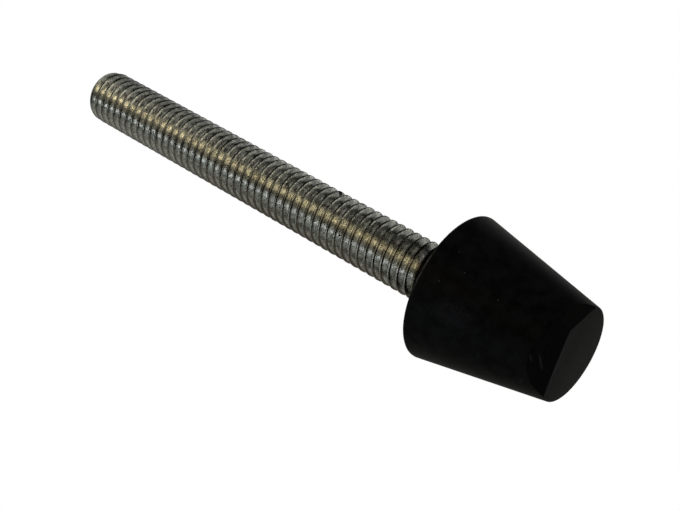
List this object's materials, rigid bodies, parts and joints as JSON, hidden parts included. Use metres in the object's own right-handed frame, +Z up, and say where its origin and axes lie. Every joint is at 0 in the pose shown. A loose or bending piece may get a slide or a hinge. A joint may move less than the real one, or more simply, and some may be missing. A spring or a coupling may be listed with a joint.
{
  "type": "rubber anti-vibration mount",
  "caption": "Tapered rubber mount moulded on the end of a fully threaded steel stud, with a flat nose at the narrow end and a flat back face round the stud.",
  "frame": {"origin": "centre of the flat nose face, the lowest point of the part as it stands on its nose", "axes": "+Z runs up the axis from the nose through the rubber to the stud's tip; the pared edge of the nose lies towards -Y, which is the side the picture is taken from"},
  "size_m": [0.0148, 0.0148, 0.0635],
  "materials": {
    "plated_steel": "zinc plated, dulled and handled, with faint yellow in the highlights",
    "black_rubber": "smooth moulded black rubber, the nose face cut and a little greyer"
  },
  "bodies": {
    "root": {"threaded_stud": "plated_steel", "rubber_body": "black_rubber"}
  },
  "joints": []
}
